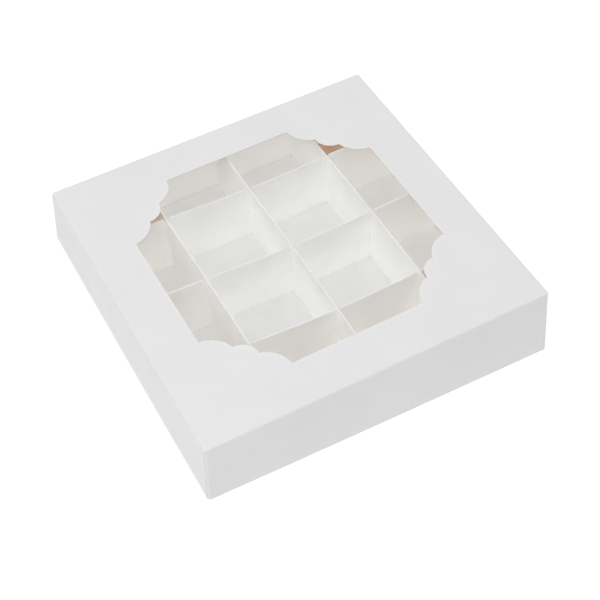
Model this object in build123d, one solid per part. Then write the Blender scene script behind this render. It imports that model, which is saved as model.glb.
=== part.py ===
from build123d import *
import os

# Square presentation box of folded board with a window lid and a 16-cell divider insert, in millimetres.
# Origin: centre of the footprint, on the surface the box stands on. +X right, +Y back, +Z up.

# Driving dimensions
LID_SIDE = 177.0  # outer side of the square lid
BOX_HEIGHT = 38.0  # resting surface to the lid's top face
BOARD = 0.5  # box board, one ply
FILM = 0.2  # clear window film
PAD = 0.3  # thin card under the divider strips
STRIP = 0.8  # divider board
PITCH = 45.0  # spacing of the divider strips
STRIP_TOP = 34.5  # top edge of every divider strip
SIDE_GAP = 0.4  # lid's inner ply to the base wall, left and right
LOOSE_GAP = 0.3  # between pieces that lift apart
LAY_GAP = 0.1  # between sheets that lie on each other
RIM_LIFT = 0.4  # lid's rim above the resting surface

# Window: a square with three scallops across each corner
WINDOW_SIDE = 131.0
CUSP_FAR = 31.1  # outer cusps, measured along each side from the square's corner
CUSP_LONG = 21.2  # inner cusps, larger offset from the corner
CUSP_SHORT = 12.3  # inner cusps, smaller offset from the corner
SCALLOP_RISE = 2.6  # how far each scallop stands into the window
FILM_MARGIN = 10.0  # glued overlap of the film around the window

# Folded walls
WALL_END_INSET = 1.0  # end of a left or right wall to the corner, which leaves the bend there open
PLY_INSET = 0.5  # edge of a turned-in ply to the panel it points at
PLY_END_GAP = 0.6  # end of a turned-in ply to the corner
TAB_LENGTH = 25.0
TAB_INSET = 2.0  # tab edge to the panel and to the rim fold

# Floor pad and slots
PAD_ARM = 95.0  # width of each arm of the cross-shaped pad, whose edges lie under the outer strips
SLOT_GAP = 0.2  # on each side of a strip in its slot, and at the slot's end

# Worked-out dimensions
lid_half = LID_SIDE / 2
lid_panel_z = BOX_HEIGHT - BOARD
base_half = lid_half - 3 * BOARD - SIDE_GAP
base_rim_z = lid_panel_z - LOOSE_GAP
insert_half_x = base_half - 3 * BOARD - LOOSE_GAP
insert_half_y = base_half - 2 * BOARD - LOOSE_GAP  # no tab lies behind the front and back plies
pad_z = BOARD + LAY_GAP
strip_bottom = pad_z + PAD + 2 * LAY_GAP
slot_z = (strip_bottom + STRIP_TOP) / 2
slot_half = STRIP / 2 + SLOT_GAP
strip_places = (-PITCH, 0.0, PITCH)

parts = {}


def slab(corner, opposite):
    """Flat sheet filling the space between two opposite corners."""
    size = [abs(b - a) for a, b in zip(corner, opposite)]
    middle = [(a + b) / 2 for a, b in zip(corner, opposite)]
    return Pos(*middle) * Box(*size)


def window_face():
    """The window's outline: four straight sides with three scallops across each corner."""
    half = WINDOW_SIDE / 2
    offsets = [(CUSP_FAR, 0), (CUSP_LONG, CUSP_SHORT), (CUSP_SHORT, CUSP_LONG), (0, CUSP_FAR)]
    edges = []
    for corner in range(4):
        cusps = [Vector(half - a, half - b).rotate(Axis.Z, -90 * corner) for a, b in offsets]
        for start, end in zip(cusps, cusps[1:]):
            middle = (start + end) / 2
            crown = middle - middle.normalized() * SCALLOP_RISE
            edges.append(ThreePointArc(start, crown, end))
        edges.append(Line(cusps[-1], cusps[0].rotate(Axis.Z, -90)))
    return Face(Wire(edges))


def folded_walls(name, half, panel_z, rim_z):
    """Outer walls, turned-in plies and corner tabs of a tray open at its rim.

    The front and back walls bend round the corners into tabs, and the left and right walls fold over them.
    """
    to_rim = 1 if rim_z > panel_z else -1
    ply_z = panel_z + to_rim * PLY_INSET
    fold_z = rim_z - to_rim * BOARD
    tab_start = panel_z + to_rim * TAB_INSET
    tab_stop = fold_z - to_rim * TAB_INSET
    inner = half - BOARD
    side_half = half - WALL_END_INSET
    side_ply_half = inner - PLY_END_GAP
    end_ply_half = inner - 2 * BOARD - LAY_GAP

    for side, x in (("left", -1), ("right", 1)):
        parts[f"{name}_wall_{side}"] = slab((x * half, -side_half, panel_z), (x * inner, side_half, rim_z))
        ply_face = x * (inner - BOARD)
        ply = slab((ply_face, -side_ply_half, ply_z), (ply_face - x * BOARD, side_ply_half, rim_z))
        fold = slab((x * inner, -side_ply_half, fold_z), (ply_face, side_ply_half, rim_z))
        parts[f"{name}_ply_{side}"] = ply + fold
        for end, y in (("front", -1), ("back", 1)):
            outer_corner = (x * inner, y * inner, tab_start)
            inner_corner = (x * (inner - BOARD), y * (inner - TAB_LENGTH), tab_stop)
            parts[f"{name}_tab_{side}_{end}"] = slab(outer_corner, inner_corner)

    for side, y in (("front", -1), ("back", 1)):
        parts[f"{name}_wall_{side}"] = slab((-inner, y * half, panel_z), (inner, y * inner, rim_z))
        ply = slab((-end_ply_half, y * inner, ply_z), (end_ply_half, y * (inner - BOARD), rim_z))
        parts[f"{name}_ply_{side}"] = ply


def lid():
    """Top panel with its window, the film glued under it, and the folded walls."""
    panel = slab((-lid_half, -lid_half, lid_panel_z), (lid_half, lid_half, BOX_HEIGHT))
    window = extrude(Pos(0, 0, lid_panel_z) * window_face(), 2 * BOARD, both=True)
    parts["lid_top_panel"] = panel - window
    side = WINDOW_SIDE / 2 + FILM_MARGIN
    parts["window_film"] = slab((-side, -side, lid_panel_z - FILM), (side, side, lid_panel_z))
    folded_walls("lid", lid_half, lid_panel_z, RIM_LIFT)


def base():
    """Floor and folded walls of the tray that the lid slides over."""
    parts["base_floor_panel"] = slab((-base_half, -base_half, 0), (base_half, base_half, BOARD))
    folded_walls("base", base_half, BOARD, base_rim_z)


def floor_pad():
    """Cross-shaped card on the base floor: its arms cover all but the four corner cells."""
    arm = PAD_ARM / 2
    top = pad_z + PAD
    across = slab((-insert_half_x, -arm, pad_z), (insert_half_x, arm, top))
    along = slab((-arm, -insert_half_y, pad_z), (arm, insert_half_y, top))
    parts["floor_pad"] = across + along


def dividers():
    """Six slotted strips: the lower three are slotted from the top, the upper three from the bottom."""
    half = STRIP / 2
    for name, y in zip(("front", "middle", "back"), strip_places):
        strip = slab((-insert_half_x, y - half, strip_bottom), (insert_half_x, y + half, STRIP_TOP))
        for x in strip_places:
            slot_floor = slot_z - SLOT_GAP
            strip -= slab((x - slot_half, y - STRIP, slot_floor), (x + slot_half, y + STRIP, BOX_HEIGHT))
        parts[f"lower_divider_{name}"] = strip
    for name, x in zip(("left", "middle", "right"), strip_places):
        strip = slab((x - half, -insert_half_y, strip_bottom), (x + half, insert_half_y, STRIP_TOP))
        for y in strip_places:
            slot_roof = slot_z + SLOT_GAP
            strip -= slab((x - STRIP, y - slot_half, 0), (x + STRIP, y + slot_half, slot_roof))
        parts[f"upper_divider_{name}"] = strip


lid()
base()
floor_pad()
dividers()

os.makedirs("parts", exist_ok=True)
for node, shape in parts.items():
    export_step(shape, f"parts/{node}.step")
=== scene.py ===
import math

import bpy
from mathutils import Matrix, Vector, noise


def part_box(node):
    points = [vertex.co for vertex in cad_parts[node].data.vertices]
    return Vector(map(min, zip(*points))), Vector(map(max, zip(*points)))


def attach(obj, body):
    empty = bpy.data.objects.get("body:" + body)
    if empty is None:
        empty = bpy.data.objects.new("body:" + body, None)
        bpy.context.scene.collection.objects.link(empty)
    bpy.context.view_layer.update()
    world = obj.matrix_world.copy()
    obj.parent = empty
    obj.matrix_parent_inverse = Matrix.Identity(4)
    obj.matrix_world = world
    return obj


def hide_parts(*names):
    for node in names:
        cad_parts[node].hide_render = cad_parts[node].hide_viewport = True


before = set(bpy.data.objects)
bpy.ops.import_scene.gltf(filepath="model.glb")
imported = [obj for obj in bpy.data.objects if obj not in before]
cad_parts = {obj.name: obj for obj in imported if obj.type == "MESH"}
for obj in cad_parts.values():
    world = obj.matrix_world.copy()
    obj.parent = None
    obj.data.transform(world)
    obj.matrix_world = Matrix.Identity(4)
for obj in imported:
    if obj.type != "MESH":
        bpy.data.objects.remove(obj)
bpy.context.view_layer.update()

# Folded-board window box with a lattice of slotted strips. Metres, in the CAD frame.
MM = 0.001


# ---------------------------------------------------------------- dimensions from the frame
def size_of(node):
    low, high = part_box(node)
    return [b - a for a, b in zip(low, high)]


LID_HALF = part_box("lid_top_panel")[1][0]
LID_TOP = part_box("lid_top_panel")[1][2]
LID_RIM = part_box("lid_wall_front")[0][2]
LID_PLY_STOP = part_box("lid_ply_left")[1][2]
BOARD = size_of("lid_top_panel")[2]
SHEET = 0.8 * BOARD  # thickness that shows; the rest is play between the plies
BASE_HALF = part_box("base_floor_panel")[1][0]
BASE_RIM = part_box("base_wall_front")[1][2]
BASE_PLY_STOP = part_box("base_ply_left")[0][2]
TAB_LENGTH = size_of("lid_tab_left_front")[1]
TAB_START = LID_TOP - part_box("lid_tab_left_front")[1][2]
FILM_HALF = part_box("window_film")[1][0]
FILM_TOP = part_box("window_film")[1][2]
PAD_LOW, PAD_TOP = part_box("floor_pad")[0][2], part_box("floor_pad")[1][2]
PAD_X, PAD_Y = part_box("floor_pad")[1][0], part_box("floor_pad")[1][1]
STRIP_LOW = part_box("lower_divider_middle")[0][2]
STRIP_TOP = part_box("lower_divider_middle")[1][2]
STRIP_THICK = size_of("lower_divider_middle")[1]
LOWER_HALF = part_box("lower_divider_middle")[1][0]
UPPER_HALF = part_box("upper_divider_middle")[1][1]
PITCH = sum(corner[0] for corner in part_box("upper_divider_right")) / 2


# ---------------------------------------------------------------- dimensions that the frame doesn't give
# The window's outline in the lid, the same as the CAD panel's
FILM_MARGIN = 10 * MM  # glued overlap of the film around the window
WINDOW_HALF = FILM_HALF - FILM_MARGIN
CUSPS = [(31.1 * MM, 0.0), (21.2 * MM, 12.3 * MM)]  # from the window square's corner, along and across
SCALLOP_RISE = 2.6 * MM

# Folds: radii of the creases, and the play between the board's layers
LID_CREASE = 1.0 * MM
BASE_CREASE = 0.9 * MM
TAB_PLAY = 0.03 * MM
PLY_END_GAP = 0.6 * MM

# The lid's loose walls lean outwards: how far at the rim, at a wall's left and right end
FRONT_LEAN = (0.5 * MM, 4.5 * MM)
BACK_LEAN = (5.5 * MM, 0.5 * MM)
LEFT_LEAN = 2.0 * MM  # the same all along
WALL_BOW = 0.3 * MM  # outwards, at a wall's middle
PANEL_CROWN = 0.3 * MM
RIPPLE, RIPPLE_SCALE = 0.10 * MM, 14  # of the lid's panel
BASE_LEAN = 0.22 * MM  # inwards, at the middle of a base wall's rim
BOW_SHARE = 0.75  # of a half wave, from a lid wall's crease to its rim
CREASE_FADE = 12  # how fast the shape of the lid's panel fades out down its walls
# Where the walls begin, as a share of the half side, and over how much they take up their own shape
LID_WALLS = (0.9, 0.08)
BASE_WALLS = (0.95, 0.02)

# The window is cut a little towards the back (at its front and back edge) and a little turned
WINDOW_BACK = (0.5 * MM, 1.8 * MM)
WINDOW_TURN = math.radians(0.4)

# How far each strip has slid along its own length, which takes the strips it crosses along
LOWER_SLID = (0.5 * MM, 0.5 * MM, 0.0)  # to the right: front, middle and back strip
UPPER_SLID = (1.5 * MM, -0.5 * MM, 0.5 * MM)  # to the back: left, middle and right strip

# Film and pad: real thickness of the film, mesh grids and how the sheets wave
FILM_THICK, FILM_GRID = 0.12 * MM, 3 * MM
FILM_SLACK, FILM_WAVE, FILM_WAVE_SCALE = 0.3 * MM, 0.35 * MM, (22, 30)
FILM_TAUT = 20 * MM  # width of the band inside the window's edge over which the slack sets in
GLUE_GAP = 0.02 * MM  # film to panel
PAD_OVERHANG, PAD_GRID = 0.2 * MM, 2.2 * MM
PAD_ARM_PAST = 2.1 * MM  # edge of a pad arm past the outer strip's face
PAD_CURL, PAD_WAVE, PAD_WAVE_SCALE = 0.12 * MM, 0.03 * MM, 30
PAD_PLAY = 0.06 * MM  # how much thinner the card is than its CAD solid

# Divider strips
SLOT_PLAY = 0.2 * MM  # on each side of a strip in its slot, and at the slot's end
SLOT_LEAD, SLOT_FLARE = 2.2 * MM, 0.9 * MM  # height of the lead-in at a slot's mouth, and its widening
END_CHAMFER = 1.2 * MM
STRIP_SOFTENING = 0.12 * MM  # rounding of the cut edges
FOOT_GAP = 0.03 * MM  # strip to pad
COLUMN_CLEARANCE = 1.6 * MM  # mesh columns keep this far from the slots' edges
SLIDE_HOLD, SLIDE_FADE = 60 * MM, 20 * MM  # along a strip, where its slide fades out towards the ends
SLIDE_EASE = 0.9  # how soon the slides level off past the outer strips
FOOT_SLIDE = 0.55  # share of the slide that a strip's foot follows
NEAR = 0.01 * MM  # a mesh column this close to an edge lies on it


# ---------------------------------------------------------------- materials
def new_material(name):
    material = bpy.data.materials.new(name)
    material.use_nodes = True
    return material, material.node_tree, material.node_tree.nodes["Principled BSDF"]


def node(tree, kind, **values):
    made = tree.nodes.new(kind)
    for key, value in values.items():
        if hasattr(made, key):
            setattr(made, key, value)
        else:
            made.inputs[key.replace("_", " ")].default_value = value
    return made


def noise_node(tree, scale, detail=4.0, roughness=0.55, stretch=None):
    """Noise in object space; stretch squeezes it along one axis, for fibres."""
    place = node(tree, "ShaderNodeTexCoord")
    texture = node(tree, "ShaderNodeTexNoise", Scale=scale, Detail=detail, Roughness=roughness)
    source = place.outputs["Object"]
    if stretch:
        mapping = node(tree, "ShaderNodeMapping")
        mapping.inputs["Scale"].default_value = stretch
        tree.links.new(source, mapping.inputs["Vector"])
        source = mapping.outputs["Vector"]
    tree.links.new(source, texture.inputs["Vector"])
    return texture.outputs["Fac"]


def ramp(tree, source, stops):
    made = node(tree, "ShaderNodeValToRGB")
    made.color_ramp.elements[0].position, made.color_ramp.elements[0].color = stops[0][0], (*stops[0][1], 1)
    made.color_ramp.elements[1].position, made.color_ramp.elements[1].color = stops[-1][0], (*stops[-1][1], 1)
    for place, colour in stops[1:-1]:
        made.color_ramp.elements.new(place).color = (*colour, 1)
    tree.links.new(source, made.inputs["Fac"])
    return made.outputs["Color"]


def mix(tree, kind, factor, first, second):
    made = node(tree, "ShaderNodeMix", data_type="RGBA", blend_type=kind)
    for socket, value in ((made.inputs[0], factor), (made.inputs[6], first), (made.inputs[7], second)):
        if isinstance(value, bpy.types.NodeSocket):
            tree.links.new(value, socket)
        elif isinstance(value, tuple):
            socket.default_value = (*value, 1)
        else:
            socket.default_value = value
    return made.outputs[2]


def grey(value):
    return (value, value, value)


def add_bump(tree, shader, heights):
    """Chains one bump node for each (height socket, strength, distance)."""
    normal = None
    for height, strength, distance in heights:
        bump = node(tree, "ShaderNodeBump", Strength=strength, Distance=distance)
        tree.links.new(height, bump.inputs["Height"])
        if normal:
            tree.links.new(normal, bump.inputs["Normal"])
        normal = bump.outputs["Normal"]
    tree.links.new(normal, shader.inputs["Normal"])


def wear_and_highlight_of(tree):
    """The mesh's own wear-and-highlight value: 1 along creases and die-cut edges, 0 on open board. The
    coating is lightened there, partly as whitening of the stretched coating and partly as a painted
    highlight.
    """
    return node(tree, "ShaderNodeAttribute", attribute_name="wear_and_highlight").outputs["Fac"]


def coated_board(name, white, crease_white_and_highlight, tint=(1, 1, 1)):
    """Matt white coating: faint cloudiness, fine orange peel, and a lighter colour along the creases and cut
    edges, partly whitening of the stretched coating and partly a painted highlight.
    """
    material, tree, shader = new_material(name)
    cloud = noise_node(tree, 38, detail=3)
    low = tuple(white * 0.985 * t for t in tint)
    high = tuple(white * 1.01 * t for t in tint)
    colour = ramp(tree, cloud, [(0.35, low), (0.65, high)])
    speck = ramp(tree, noise_node(tree, 1500, detail=2), [(0.30, grey(0.93)), (0.42, grey(1.0))])
    colour = mix(tree, "MULTIPLY", 0.5, colour, speck)
    # painted highlight: along creases, cut edges and the rim's turn the coating is mixed towards the lighter
    # crease white; this is partly whitening of the stretched coating and partly painted highlight
    worn_and_highlit = node(tree, "ShaderNodeMath", operation="MULTIPLY")
    tree.links.new(wear_and_highlight_of(tree), worn_and_highlit.inputs[0])
    tree.links.new(noise_node(tree, 420, detail=5), worn_and_highlit.inputs[1])
    colour = mix(tree, "MIX", worn_and_highlit.outputs[0], colour, grey(crease_white_and_highlight))
    tree.links.new(colour, shader.inputs["Base Color"])
    rough = ramp(tree, noise_node(tree, 160, detail=4), [(0.3, grey(0.50)), (0.7, grey(0.62))])
    tree.links.new(rough, shader.inputs["Roughness"])
    shader.inputs["Specular IOR Level"].default_value = 0.35
    peel = noise_node(tree, 1100, detail=4, roughness=0.6)
    wave = noise_node(tree, 60, detail=2)
    add_bump(tree, shader, [(wave, 0.10, 0.4 * MM), (peel, 0.16, 0.03 * MM)])
    return material


def kraft_board(name, light, dark):
    """Uncoated brown reverse: long fibres, flecks and a rough felt-like surface."""
    material, tree, shader = new_material(name)
    along = noise_node(tree, 900, detail=6, roughness=0.7, stretch=(0.18, 1, 1))
    across = noise_node(tree, 900, detail=6, roughness=0.7, stretch=(1, 0.22, 1))
    colour = ramp(tree, along, [(0.32, dark), (0.66, light)])
    cross = ramp(tree, across, [(0.30, grey(0.86)), (0.60, grey(1.04))])
    colour = mix(tree, "MULTIPLY", 0.8, colour, cross)
    flecks = ramp(tree, noise_node(tree, 2600, detail=1), [(0.24, grey(0.55)), (0.33, grey(1.0))])
    colour = mix(tree, "MULTIPLY", 0.7, colour, flecks)
    tree.links.new(colour, shader.inputs["Base Color"])
    shader.inputs["Roughness"].default_value = 0.88
    shader.inputs["Specular IOR Level"].default_value = 0.2
    felt = noise_node(tree, 1500, detail=6, roughness=0.7)
    add_bump(tree, shader, [(along, 0.3, 0.05 * MM), (felt, 0.25, 0.04 * MM)])
    return material


def cut_edge(name, light, dark):
    """Die-cut edge: the board's layers show as fine streaks."""
    material, tree, shader = new_material(name)
    layers = noise_node(tree, 3200, detail=3, stretch=(0.12, 0.12, 1))
    tree.links.new(ramp(tree, layers, [(0.35, dark), (0.65, light)]), shader.inputs["Base Color"])
    shader.inputs["Roughness"].default_value = 0.9
    shader.inputs["Specular IOR Level"].default_value = 0.2
    add_bump(tree, shader, [(layers, 0.4, 0.03 * MM)])
    return material


def plain_card(name, white, tint=(1, 1, 1)):
    """Uncoated white card: fibre cloud, tiny specks and a dry surface."""
    material, tree, shader = new_material(name)
    cloud = noise_node(tree, 70, detail=5)
    low = tuple(white * 0.975 * t for t in tint)
    high = tuple(min(1.0, white * 1.015) * t for t in tint)
    colour = ramp(tree, cloud, [(0.35, low), (0.65, high)])
    fibre = noise_node(tree, 1400, detail=5, roughness=0.7, stretch=(0.3, 0.3, 1))
    colour = mix(tree, "MULTIPLY", 0.6, colour, ramp(tree, fibre, [(0.3, grey(0.955)), (0.6, grey(1.0))]))
    tree.links.new(colour, shader.inputs["Base Color"])
    shader.inputs["Roughness"].default_value = 0.8
    shader.inputs["Specular IOR Level"].default_value = 0.25
    add_bump(tree, shader, [(fibre, 0.22, 0.04 * MM)])
    return material


def clear_film(name):
    """Thin clear film: see-through, with a faint gloss that grows towards grazing angles."""
    material, tree, shader = new_material(name)
    tree.nodes.remove(shader)
    clear = node(tree, "ShaderNodeBsdfTransparent")
    gloss = node(tree, "ShaderNodeBsdfGlossy", Roughness=0.07)
    gloss.inputs["Color"].default_value = (0.97, 0.98, 1.0, 1)
    facing = node(tree, "ShaderNodeLayerWeight", Blend=0.5)
    steep = node(tree, "ShaderNodeMath", operation="POWER")
    steep.inputs[1].default_value = 5.0
    amount = node(tree, "ShaderNodeMath", operation="MULTIPLY_ADD")
    amount.inputs[1].default_value, amount.inputs[2].default_value = 0.6, 0.012
    tree.links.new(facing.outputs["Facing"], steep.inputs[0])
    tree.links.new(steep.outputs[0], amount.inputs[0])
    blend = node(tree, "ShaderNodeMixShader")
    tree.links.new(amount.outputs[0], blend.inputs[0])
    tree.links.new(clear.outputs[0], blend.inputs[1])
    tree.links.new(gloss.outputs[0], blend.inputs[2])
    tree.links.new(blend.outputs[0], tree.nodes["Material Output"].inputs["Surface"])
    return material


# the lid's creases are painted lighter than its coating (0.81 over 0.77): partly whitening of the stretched
# coating, partly a painted highlight
LID_COAT = coated_board("lid_coating", 0.77, 0.81)
# painted light: the base is the lid's board, but its coating is set whiter (0.87 against 0.77) so that its
# walls show lighter inside the cells, where they lie in the lid's shade
BASE_COAT = coated_board("base_coating", 0.87, 0.86, (0.993, 1, 0.988))
KRAFT = kraft_board("kraft_reverse", (0.58, 0.405, 0.275), (0.44, 0.295, 0.185))
EDGE = cut_edge("cut_board_edge", (0.84, 0.83, 0.81), (0.77, 0.755, 0.735))
STRIP_CARD = plain_card("strip_card", 0.925, (1, 0.999, 0.99))
STRIP_EDGE = plain_card("strip_cut_edge", 0.79, (1, 0.998, 0.987))
# painted shade: the pad is the same white card as the strips, set much greyer (0.64 against 0.925) because
# the shadowless fill lights the cells' floors more than their walls
PAD_CARD = plain_card("pad_card", 0.64, (1, 0.997, 0.987))
FILM = clear_film("window_film")


# ---------------------------------------------------------------- mesh helpers
def mesh_object(name, points, faces, materials, wear_and_highlight=None):
    """A mesh object from points and faces, with a wear-and-highlight value on each point, which marks where
    the coating is lightened: partly wear, partly a painted highlight.
    """
    mesh = bpy.data.meshes.new(name)
    mesh.from_pydata([tuple(p) for p in points], [], faces)
    for material in materials:
        mesh.materials.append(material)
    for polygon in mesh.polygons:
        polygon.use_smooth = True
    layer = mesh.attributes.new("wear_and_highlight", "FLOAT", "POINT")
    layer.data.foreach_set("value", list(wear_and_highlight or [0.0] * len(points)))
    made = bpy.data.objects.new(name, mesh)
    bpy.context.collection.objects.link(made)
    return made


def finish_mesh(made, sharp_degrees=40):
    """Applies the modifiers, and keeps edges sharper than the angle sharp."""
    graph = bpy.context.evaluated_depsgraph_get()
    mesh = bpy.data.meshes.new_from_object(made.evaluated_get(graph), depsgraph=graph)
    mesh.name = made.name
    made.modifiers.clear()
    made.data = mesh
    mesh.set_sharp_from_angle(angle=math.radians(sharp_degrees))


def thicken(made, thickness, offset, inner, rim):
    """Gives a sheet its board thickness; inner and rim are material steps for the reverse and edges."""
    solid = made.modifiers.new("board", "SOLIDIFY")
    solid.thickness = thickness
    solid.offset = offset
    solid.use_even_offset = False
    solid.material_offset = inner
    solid.material_offset_rim = rim


def arc(start, crown, end, count):
    """Points of the circular arc through three points in a plane, without its end."""
    (ax, ay), (bx, by), (cx, cy) = start, crown, end
    d = 2 * (ax * (by - cy) + bx * (cy - ay) + cx * (ay - by))
    a2, b2, c2 = ax * ax + ay * ay, bx * bx + by * by, cx * cx + cy * cy
    ux = (a2 * (by - cy) + b2 * (cy - ay) + c2 * (ay - by)) / d
    uy = (a2 * (cx - bx) + b2 * (ax - cx) + c2 * (bx - ax)) / d
    radius = math.hypot(ax - ux, ay - uy)
    first = math.atan2(ay - uy, ax - ux)
    turn = math.atan2(cy - uy, cx - ux) - first
    turn = (turn + math.pi) % (2 * math.pi) - math.pi
    steps = [first + turn * k / count for k in range(count)]
    return [(ux + radius * math.cos(s), uy + radius * math.sin(s)) for s in steps]


def scallop(start, end, count):
    """One scallop between two cusps, standing SCALLOP_RISE towards the window's middle."""
    mid = ((start[0] + end[0]) / 2, (start[1] + end[1]) / 2)
    reach = math.hypot(*mid)
    crown = (mid[0] * (1 - SCALLOP_RISE / reach), mid[1] * (1 - SCALLOP_RISE / reach))
    return arc(start, crown, end, count)


SCALLOP_STEPS, STRAIGHT_STEPS, PLAIN_STEPS = 16, 14, 56


def window_side():
    """Window outline over one side, as (along, outward) points from one diagonal to the next."""
    h = WINDOW_HALF
    left = [(-h + a, h - b) for a, b in CUSPS]
    mirrored = (-left[1][1], -left[1][0])
    half_scallop = SCALLOP_STEPS // 2
    outline = scallop(mirrored, left[1], SCALLOP_STEPS)[half_scallop:]
    outline += scallop(left[1], left[0], SCALLOP_STEPS)
    right = (-left[0][0], left[0][1])
    outline += [(left[0][0] + (right[0] - left[0][0]) * k / STRAIGHT_STEPS, h) for k in range(STRAIGHT_STEPS)]
    outline += [(-u, o) for u, o in reversed(outline[1:half_scallop + SCALLOP_STEPS + 1])]
    return outline


def plain_side():
    """The same for a closed panel: a straight line between the diagonals."""
    return [(WINDOW_HALF * (2 * k / PLAIN_STEPS - 1), WINDOW_HALF) for k in range(PLAIN_STEPS)]


def to_box(side, along, outward, height):
    """A point given along a side and outward from the middle, turned to its side of the box."""
    turns = ((along, -outward), (outward, along), (-along, outward), (-outward, -along))
    return (*turns[side], height)


# ---------------------------------------------------------------- folded board
class Fold:
    """Sizes of one folded tray, built panel up: the panel's face, the rim, and where the plies stop."""

    def __init__(self, half, height, rim, ply_stop, crease):
        self.half, self.height, self.rim, self.ply_stop, self.crease = half, height, rim, ply_stop, crease
        self.panel = half - crease
        self.tab_face = half - SHEET - TAB_PLAY
        self.ply_half = half - BOARD - PLY_END_GAP


CREASE_STEPS, WALL_STEPS, TURN_STEPS, PLY_STEPS, TAB_STEPS, CORNER_STEPS = 6, 10, 8, 5, 8, 4
PANEL_RINGS = 12
# how much the coating is lightened along creases, their ends and the rim's turn: partly wear, partly a
# painted highlight
CREASE_WEAR_AND_HIGHLIGHT, CREASE_END_WEAR_AND_HIGHLIGHT, TURN_WEAR_AND_HIGHLIGHT = 1.0, 0.35, 0.8


def profile(fold, wrapped):
    """Cross-section from the panel's edge, over the crease, down the wall, round the rim and up the ply.

    Each row is (outward, height, half length along the side, wear and painted highlight, how far round the
    crease)."""
    crease = fold.crease
    turn = (1.0 if wrapped else 1.5) * BOARD  # a wall that folds over tabs turns wider
    wall_half = fold.tab_face - crease if wrapped else fold.panel
    ply_half = fold.ply_half - 2 * BOARD if wrapped else fold.ply_half
    rows = []
    for k in range(1, CREASE_STEPS + 1):
        angle = math.pi / 2 * k / CREASE_STEPS
        along = fold.panel + (wall_half - fold.panel) * (1 - math.cos(angle))
        wear_and_highlight = CREASE_WEAR_AND_HIGHLIGHT if k < CREASE_STEPS else CREASE_END_WEAR_AND_HIGHLIGHT
        rows.append((fold.panel + crease * math.sin(angle), fold.height - crease * (1 - math.cos(angle)),
                     along, wear_and_highlight, math.sin(angle)))
    top, bottom = fold.height - crease, fold.rim + turn
    for k in range(1, WALL_STEPS + 1):
        rows.append((fold.half, top + (bottom - top) * k / WALL_STEPS, wall_half, 0.0, 1.0))
    for k in range(1, TURN_STEPS + 1):
        angle = math.pi * k / TURN_STEPS
        along = wall_half + (ply_half - wall_half) * (1 - math.cos(angle)) / 2
        outward = fold.half - turn * (1 - math.cos(angle))
        rows.append((outward, bottom - turn * math.sin(angle), along, TURN_WEAR_AND_HIGHLIGHT, None))
    for k in range(1, PLY_STEPS + 1):
        height = bottom + (fold.ply_stop - bottom) * k / PLY_STEPS
        rows.append((fold.half - 2 * turn, height, ply_half, 0.0, None))
    return rows


def folded_sheet(fold, hole):
    """Face side of a folded tray as points, faces and wear-and-highlight values: panel, creased walls, plies
    and tabs.
    """
    points, faces, wear_and_highlight = [], [], []

    def add(point, value=0.0):
        points.append(point)
        wear_and_highlight.append(value)
        return len(points) - 1

    def quads(first, second):
        for a, b, c, d in zip(first, first[1:], second[1:], second):
            faces.append((a, b, c, d))

    # panel: rings from the window's outline out to the creases
    outline = window_side() if hole else plain_side()
    loops = []
    for ring_number in range(PANEL_RINGS + 1):
        reach = ring_number / PANEL_RINGS
        loop = []
        for side in range(4):
            for along, outward in outline:
                scale = fold.panel / outward
                u = along + (along * scale - along) * reach
                o = outward + (fold.panel - outward) * reach
                loop.append(add(to_box(side, u, o, fold.height), 1.0 if hole and reach == 0 else 0.0))
        loops.append(loop)
    for inner, outer in zip(loops, loops[1:]):
        quads(outer + outer[:1], inner + inner[:1])
    # a closed panel goes on in shrinking rings to its middle
    if not hole:
        inside = loops[0]
        for shrink in (0.8, 0.6, 0.4, 0.2):
            ring = []
            for side in range(4):
                for along, outward in outline:
                    ring.append(add(to_box(side, along * shrink, outward * shrink, fold.height)))
            quads(inside + inside[:1], ring + ring[:1])
            inside = ring
        middle = add((0, 0, fold.height))
        for a, b in zip(inside, inside[1:] + inside[:1]):
            faces.append((a, b, middle))

    count = len(outline)
    edge = loops[-1] + loops[-1][:1]
    ratio = [along / outward for along, outward in outline] + [1.0]
    for side in range(4):
        wrapped = side in (0, 2)
        before = edge[side * count:(side + 1) * count + 1]
        tabs_before = {-1: None, 1: None}
        for outward, height, half, value, rounded in profile(fold, wrapped):
            row = [add(to_box(side, r * half, outward, height), value) for r in ratio]
            quads(row, before)
            if wrapped:
                corner_rows(fold, side, outward, height, half, rounded, row, before, tabs_before, add, faces)
            before = row
    return points, faces, wear_and_highlight


def corner_rows(fold, side, outward, height, half, rounded, row, before, tabs_before, add, faces):
    """Carries a wrapped wall round its two upright corners and on to the tabs behind the next walls."""
    if rounded is None:
        return
    crease = fold.crease
    in_tab = fold.height - TAB_START >= height >= fold.rim + BOARD + TAB_START - 0.5 * BOARD
    for end in (-1, 1):
        own = row[-1] if end > 0 else row[0]
        last = before[-1] if end > 0 else before[0]
        ring = [own]
        for k in range(1, CORNER_STEPS + 1):
            angle = math.pi / 2 * k / CORNER_STEPS
            u = half + crease * math.sin(angle) * rounded
            o = fold.panel + crease * math.cos(angle) * rounded
            ring.append(add(to_box(side, end * u, o, height), TURN_WEAR_AND_HIGHLIGHT))
        if in_tab:
            for k in range(1, TAB_STEPS + 1):
                o = fold.panel - (TAB_LENGTH - crease) * k / TAB_STEPS
                ring.append(add(to_box(side, end * (half + crease), o, height)))
        previous = tabs_before[end] or [last] * (CORNER_STEPS + 1)
        for a, b, c, d in zip(previous, previous[1:], ring[1:], ring):
            corner = [d, c, b, a] if end > 0 else [a, b, c, d]
            unique = list(dict.fromkeys(corner))
            if len(unique) > 2:
                faces.append(tuple(unique))
        tabs_before[end] = ring


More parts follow.
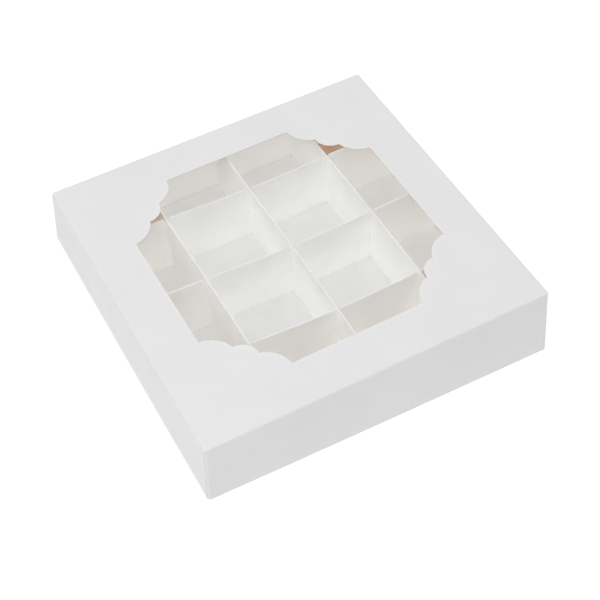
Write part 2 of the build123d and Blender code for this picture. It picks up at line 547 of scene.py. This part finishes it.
def smooth(value):
    """Smooth step from 0 to 1."""
    value = min(1.0, max(0.0, value))
    return value * value * (3 - 2 * value)


def on_wall(place, walls):
    """1 on the walls at the end of one axis and 0 on the panel; place is a share of the half side."""
    begin, band = walls
    return smooth((abs(place) - begin) / band)


def panel_rise(reach):
    """How far the lid's panel is crowned: reach is 0 at its middle and 1 at its edges."""
    return PANEL_CROWN * (1 - reach ** 4)


def lid_shape(point):
    """The lid's real set: walls that lean and bow outwards, and a top panel slightly crowned."""
    x, y, z = point
    u = min(1.0, max(-1.0, x / LID_HALF))
    v = min(1.0, max(-1.0, y / LID_HALF))
    depth = min(1.0, max(0.0, (LID_TOP - z) / (LID_TOP - LID_RIM)))
    front, back = (lean[0] + (lean[1] - lean[0]) * (1 + u) / 2 for lean in (FRONT_LEAN, BACK_LEAN))
    shift = Vector((-LEFT_LEAN * (1 - u) / 2, back * (1 + v) / 2 - front * (1 - v) / 2, 0)) * depth
    bow = WALL_BOW * math.sin(math.pi * min(1.0, depth * BOW_SHARE))
    shift.x += math.copysign(bow * on_wall(u, LID_WALLS) * (1 - v * v), u)
    shift.y += math.copysign(bow * on_wall(v, LID_WALLS) * (1 - u * u), v)
    reach = max(abs(u), abs(v))
    on_panel = 1 - smooth(depth * CREASE_FADE)
    near, far = WINDOW_BACK
    on_window = (1 - reach ** 8) * on_panel
    shift.x -= WINDOW_TURN * y * on_window
    shift.y += (near + (far - near) * (1 + y / WINDOW_HALF) / 2 + WINDOW_TURN * x) * on_window
    place = Vector((x * RIPPLE_SCALE, y * RIPPLE_SCALE, 3.0))
    ripple = RIPPLE * noise.noise(place) * (1 - reach ** 6)
    shift.z += (panel_rise(reach) + ripple) * on_panel
    return Vector(point) + shift


def base_shape(point):
    """The base's walls lean in a hair at mid-length, where only the lattice holds them."""
    x, y, z = point
    u, v = x / BASE_HALF, y / BASE_HALF
    lean = BASE_LEAN * z / BASE_RIM
    return Vector((x - math.copysign(lean * on_wall(u, BASE_WALLS) * (1 - v * v), u),
                   y - math.copysign(lean * on_wall(v, BASE_WALLS) * (1 - u * u), v), z))


def board_object(name, fold, hole, upside_down, shape, coat, body, nodes):
    """One folded blank with its thickness, coated face outside, brown reverse inside and cut edges."""
    points, faces, wear_and_highlight = folded_sheet(fold, hole)
    if upside_down:
        points = [(x, y, fold.height - z) for x, y, z in points]
        faces = [tuple(reversed(face)) for face in faces]
    points = [shape(point) for point in points]
    made = mesh_object(name, points, faces, [coat, KRAFT, EDGE], wear_and_highlight)
    thicken(made, SHEET, -1, 1, 2)
    finish_mesh(made)
    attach(made, body)
    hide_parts(*nodes)


def nodes_of(prefix):
    return [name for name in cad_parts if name.startswith(prefix)]


def build_lid():
    fold = Fold(LID_HALF, LID_TOP, LID_RIM, LID_PLY_STOP, LID_CREASE)
    nodes = nodes_of("lid_")
    board_object("lid_board", fold, True, False, lid_shape, LID_COAT, "lid", nodes)


def build_base():
    fold = Fold(BASE_HALF, BASE_RIM, 0.0, BASE_RIM - BASE_PLY_STOP, BASE_CREASE)
    nodes = nodes_of("base_")
    board_object("base_board", fold, False, True, base_shape, BASE_COAT, "base", nodes)


# ---------------------------------------------------------------- film and pad
def grid_sheet(name, half_x, half_y, step, keep, height, materials, thickness, offset):
    """A flat card or film on a grid of about that step; keep says which cells exist, height bends it."""
    count_x, count_y = round(2 * half_x / step), round(2 * half_y / step)
    xs = [half_x * (2 * k / count_x - 1) for k in range(count_x + 1)]
    ys = [half_y * (2 * k / count_y - 1) for k in range(count_y + 1)]
    index, points, faces = {}, [], []

    def corner(i, j):
        if (i, j) not in index:
            index[i, j] = len(points)
            points.append((xs[i], ys[j], height(xs[i], ys[j])))
        return index[i, j]

    for i in range(count_x):
        for j in range(count_y):
            if keep((xs[i] + xs[i + 1]) / 2, (ys[j] + ys[j + 1]) / 2):
                faces.append((corner(i, j), corner(i + 1, j), corner(i + 1, j + 1), corner(i, j + 1)))
    made = mesh_object(name, points, faces, materials)
    thicken(made, thickness, offset, 0, 0)
    finish_mesh(made)
    return made


def build_film():
    """Clear film glued flat around the window and a little slack across it."""
    def height(x, y):
        from_middle = max(abs(x), abs(y))
        slack = smooth((WINDOW_HALF - from_middle) / FILM_TAUT)
        place = Vector((x * FILM_WAVE_SCALE[0], y * FILM_WAVE_SCALE[1], 8.0))
        wave = noise.noise(place) * FILM_WAVE - FILM_SLACK
        return FILM_TOP - GLUE_GAP + panel_rise(from_middle / LID_HALF) + wave * slack

    made = grid_sheet("film_sheet", FILM_HALF, FILM_HALF, FILM_GRID, lambda x, y: True, height,
                      [FILM], FILM_THICK, -1)
    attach(made, "lid")
    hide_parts("window_film")


def build_pad():
    """Cross-shaped card that lies on the base floor, its arms a touch curled."""
    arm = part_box("lower_divider_back")[1][1] + PAD_ARM_PAST

    def on_arm(x, y):
        return min(abs(x), abs(y)) < arm

    def height(x, y):
        lift = PAD_CURL * (max(abs(x), abs(y)) / PAD_X) ** 6
        wave = PAD_WAVE * noise.noise(Vector((x * PAD_WAVE_SCALE, y * PAD_WAVE_SCALE, 1.0)))
        return (PAD_LOW + PAD_TOP) / 2 + lift + wave

    made = grid_sheet("floor_card", PAD_X + PAD_OVERHANG, PAD_Y + PAD_OVERHANG, PAD_GRID, on_arm, height,
                      [PAD_CARD], PAD_TOP - PAD_LOW - PAD_PLAY, 0)
    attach(made, "floor_pad")
    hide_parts("floor_pad")


# ---------------------------------------------------------------- divider lattice
STRIP_STEPS = 56


def slip(x, y):
    """How far the lattice has slid at a place, on smooth curves through the slides of the strips."""
    def through(slides, value):
        t = math.tanh(SLIDE_EASE * value / PITCH) / math.tanh(SLIDE_EASE)
        return slides[0] * t * (t - 1) / 2 + slides[1] * (1 - t * t) + slides[2] * t * (t + 1) / 2

    return through(LOWER_SLID, y), through(UPPER_SLID, x)


def strip_columns(half, slots, slot_half):
    """Places along a strip for its mesh columns: even steps, and both edges of every slot."""
    edges = [s + side * slot_half for s in slots for side in (-1, 1)]
    places = [half * (2 * k / STRIP_STEPS - 1) for k in range(STRIP_STEPS + 1)]
    places = [p for p in places if all(abs(p - e) > COLUMN_CLEARANCE for e in edges)]
    places = [p for p in places if all(abs(p - s) > slot_half for s in slots)]
    return sorted(places + edges)


def strip_rows(slot_end):
    """Heights of a strip's mesh rows, from its foot on the pad to its top edge."""
    return [PAD_TOP + FOOT_GAP, STRIP_LOW + SLOT_LEAD, (STRIP_LOW + slot_end) / 2, slot_end,
            (STRIP_TOP + slot_end) / 2, STRIP_TOP - SLOT_LEAD, STRIP_TOP]


def strip_shift(s, half, slots, slot_half, at_mouth, at_edge):
    """How far a mesh point moves along its strip, for the slots' lead-ins and the chamfered ends."""
    if at_edge and abs(s) > half - NEAR:
        return -math.copysign(END_CHAMFER, s)
    for slot in slots:
        if at_mouth and abs(abs(s - slot) - slot_half) < NEAR:
            return math.copysign(SLOT_FLARE, s - slot)
    return 0.0


def strip_point(s, shift, z, place, along_x):
    """Where a strip's point lies once the lattice has slid; its own ends stay inside the base walls."""
    x, y = (s + shift, place) if along_x else (place, s + shift)
    dx, dy = slip(x, y)
    held = 1 - smooth((abs(s) - SLIDE_HOLD) / SLIDE_FADE)
    if along_x:
        dx *= held
    else:
        dy *= held
    settle = FOOT_SLIDE + (1 - FOOT_SLIDE) * (z - STRIP_LOW) / (STRIP_TOP - STRIP_LOW)
    return x + dx * settle, y + dy * settle, z


def strip_faces(columns, rows, slots, slot_half, slot_end, open_top):
    """The strip's mesh faces, without those that lie in a slot."""
    faces = []
    width = len(columns)
    for j, (low, high) in enumerate(zip(rows, rows[1:])):
        for i, (left, right) in enumerate(zip(columns, columns[1:])):
            in_slot = any(abs((left + right) / 2 - slot) < slot_half for slot in slots)
            if in_slot and ((low + high) / 2 > slot_end) == open_top:
                continue
            a = j * width + i
            faces.append((a, a + 1, a + width + 1, a + width))
    return faces


def build_strip(name, along_x, place, half, slots, open_top, body):
    """One slotted strip: slots half its height with a lead-in at the mouth, and chamfered ends."""
    slot_half = STRIP_THICK / 2 + SLOT_PLAY
    middle = (STRIP_LOW + STRIP_TOP) / 2
    slot_end = middle - SLOT_PLAY if open_top else middle + SLOT_PLAY
    columns = strip_columns(half, slots, slot_half)
    rows = strip_rows(slot_end)
    last = len(rows) - 1
    mouth = last if open_top else 0
    points, wear_and_highlight = [], []
    for j, z in enumerate(rows):
        at_edge = j in (0, last)
        for s in columns:
            shift = strip_shift(s, half, slots, slot_half, j == mouth, at_edge)
            points.append(strip_point(s, shift, z, place, along_x))
            wear_and_highlight.append(1.0 if at_edge else 0.0)
    faces = strip_faces(columns, rows, slots, slot_half, slot_end, open_top)
    used = sorted({k for face in faces for k in face})
    remap = {old: new for new, old in enumerate(used)}
    points, wear_and_highlight = [points[k] for k in used], [wear_and_highlight[k] for k in used]
    faces = [tuple(remap[k] for k in face) for face in faces]
    made = mesh_object(name + "_strip", points, faces, [STRIP_CARD, STRIP_EDGE], wear_and_highlight)
    thicken(made, STRIP_THICK, 0, 0, 1)
    soften = made.modifiers.new("soften", "BEVEL")
    soften.width = STRIP_SOFTENING
    soften.segments = 2
    soften.limit_method = "ANGLE"
    soften.angle_limit = math.radians(55)
    finish_mesh(made)
    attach(made, body)
    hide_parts(name)


def build_lattice():
    places = (-PITCH, 0.0, PITCH)
    for name, place in zip(("front", "middle", "back"), places):
        build_strip(f"lower_divider_{name}", True, place, LOWER_HALF, places, True, "lower_dividers")
    for name, place in zip(("left", "middle", "right"), places):
        build_strip(f"upper_divider_{name}", False, place, UPPER_HALF, places, False, "upper_dividers")


# ---------------------------------------------------------------- floor, light and camera
FLOOR_REACH = 6.0
FLOOR_DROP = 0.3 * MM  # the floor lies just under the box, so that the two faces don't meet
FLOOR_GLOW = 0.12
WORLD_STRENGTH = 0.17
KEY_PLACE, KEY_SIZE, KEY_POWER = (-0.7, -0.15, 0.55), 0.6, 0.95
FILL_STRENGTH, FILL_SPREAD = 0.78 * math.pi, math.radians(125)
LIGHT_BOUNCES = 24  # enough for light to reach the bottom of the white cells

# Camera: angles in degrees, aim and distance in lid sides, the aim from the centre of the footprint
CAMERA_AZIMUTH, CAMERA_ELEVATION, CAMERA_ROLL = -26.0, 50.5, -3.0
CAMERA_AIM, CAMERA_DISTANCE = (-0.037, -0.117, 0.107), 3.63
CAMERA_LENS, CAMERA_SENSOR = 80, 36


def build_floor():
    material, tree, shader = new_material("studio_floor")
    shader.inputs["Base Color"].default_value = (0.95, 0.95, 0.95, 1)
    shader.inputs["Roughness"].default_value = 0.9
    shader.inputs["Emission Color"].default_value = (1, 1, 1, 1)
    shader.inputs["Emission Strength"].default_value = FLOOR_GLOW
    mesh = bpy.data.meshes.new("floor")
    corners = [(x * FLOOR_REACH, y * FLOOR_REACH, 0) for x, y in ((-1, -1), (1, -1), (1, 1), (-1, 1))]
    mesh.from_pydata(corners, [], [(0, 1, 2, 3)])
    mesh.materials.append(material)
    floor = bpy.data.objects.new("floor", mesh)
    floor.location.z = -FLOOR_DROP
    bpy.context.collection.objects.link(floor)


def area_light(name, place, aim, size, power):
    data = bpy.data.lights.new(name, "AREA")
    data.shape = "SQUARE"
    data.size = size
    data.energy = power
    light = bpy.data.objects.new(name, data)
    light.location = place
    light.rotation_mode = "QUATERNION"
    light.rotation_quaternion = (Vector(aim) - Vector(place)).to_track_quat("-Z", "Y")
    bpy.context.collection.objects.link(light)


def build_light():
    world = bpy.data.worlds.new("studio")
    bpy.context.scene.world = world
    world.use_nodes = True
    background = world.node_tree.nodes["Background"]
    background.inputs["Color"].default_value = (1, 1, 1, 1)
    background.inputs["Strength"].default_value = WORLD_STRENGTH
    area_light("key", KEY_PLACE, (0, 0, 0), KEY_SIZE, KEY_POWER)
    # overhead fill without shadows, so that the cells are as light as a soft studio makes them
    data = bpy.data.lights.new("fill", "SUN")
    data.energy = FILL_STRENGTH
    data.angle = FILL_SPREAD
    data.use_shadow = False
    bpy.context.collection.objects.link(bpy.data.objects.new("fill", data))


def build_camera():
    """The photograph's angle and framing, from above the front left."""
    side = 2 * LID_HALF
    azimuth, elevation = math.radians(CAMERA_AZIMUTH), math.radians(CAMERA_ELEVATION)
    roll = math.radians(CAMERA_ROLL)
    aim = Vector(CAMERA_AIM) * side
    back = Vector((math.sin(azimuth) * math.cos(elevation), -math.cos(azimuth) * math.cos(elevation),
                   math.sin(elevation)))
    right = (-back).cross(Vector((0, 0, 1))).normalized()
    up = right.cross(-back)
    turned_right = math.cos(roll) * right + math.sin(roll) * up
    turned_up = -math.sin(roll) * right + math.cos(roll) * up
    data = bpy.data.cameras.new("camera")
    data.sensor_width = CAMERA_SENSOR
    data.lens = CAMERA_LENS
    data.clip_start, data.clip_end = 0.01, 20
    camera = bpy.data.objects.new("camera", data)
    camera.rotation_mode = "QUATERNION"
    turn = Matrix((turned_right, turned_up, back)).transposed()
    camera.rotation_quaternion = turn.to_quaternion()
    camera.location = aim + back * CAMERA_DISTANCE * side
    bpy.context.collection.objects.link(camera)
    bpy.context.scene.camera = camera


scene = bpy.context.scene
scene.view_settings.view_transform = "Standard"
scene.cycles.max_bounces = LIGHT_BOUNCES
scene.cycles.diffuse_bounces = LIGHT_BOUNCES
build_camera()
build_light()
build_floor()
build_lid()
build_base()
build_film()
build_pad()
build_lattice()
